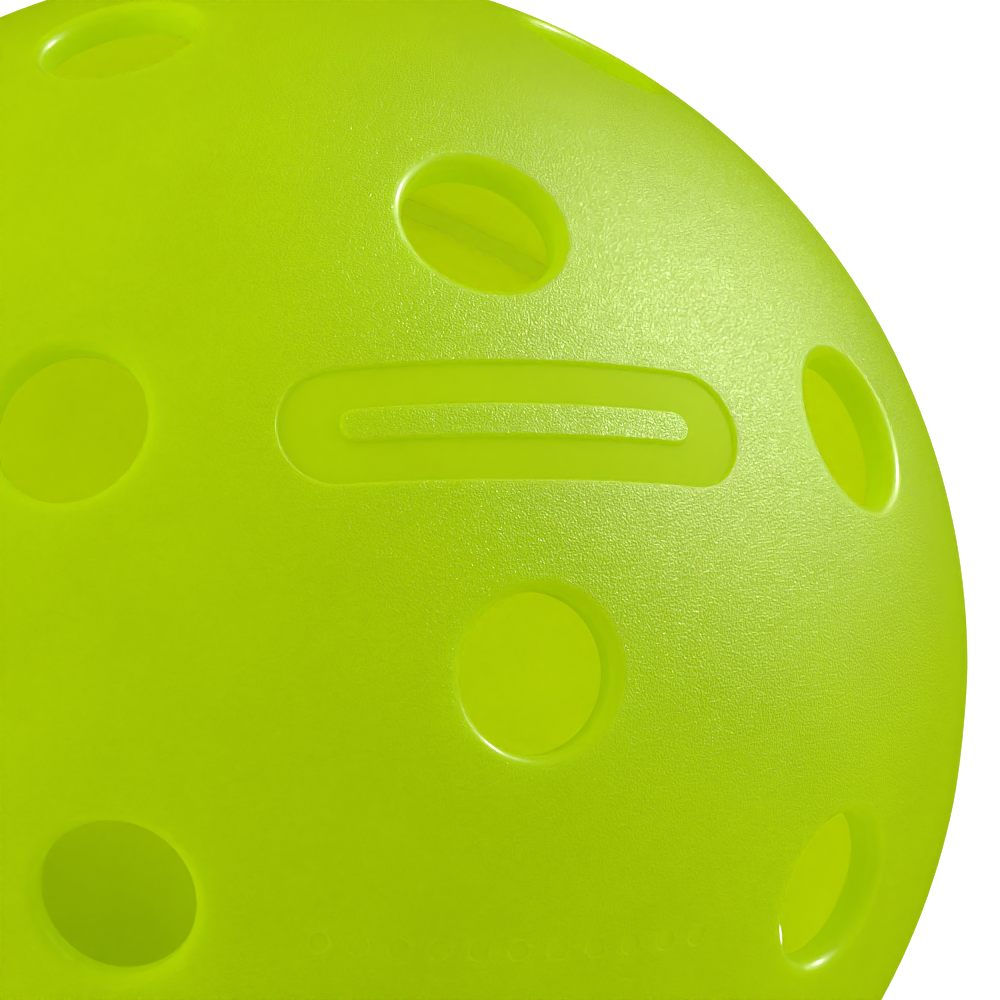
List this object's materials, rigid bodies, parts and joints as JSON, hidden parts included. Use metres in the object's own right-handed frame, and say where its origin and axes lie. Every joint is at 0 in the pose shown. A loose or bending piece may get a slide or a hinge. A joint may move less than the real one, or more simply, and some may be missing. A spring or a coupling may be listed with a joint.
{
  "type": "pickleball ball",
  "caption": "Hollow perforated plastic ball for pickleball: two half shells welded at the equator, with round holes whose outer edges are rounded.",
  "frame": {"origin": "centre of the ball", "axes": "+Z through the centre of the upper shell's pole hole, square to the weld plane z = 0; -Y is the heading of one hole of the ring next to that pole"},
  "size_m": [0.074, 0.074, 0.0734],
  "materials": {
    "shell_plastic": "fine moulded grain, satin, with smooth glossy hole edges",
    "weld_plastic": "smooth, as it set from the melt"
  },
  "bodies": {
    "root": {"upper_half_shell": "shell_plastic", "lower_half_shell": "shell_plastic", "weld_bead": "weld_plastic"}
  },
  "joints": []
}
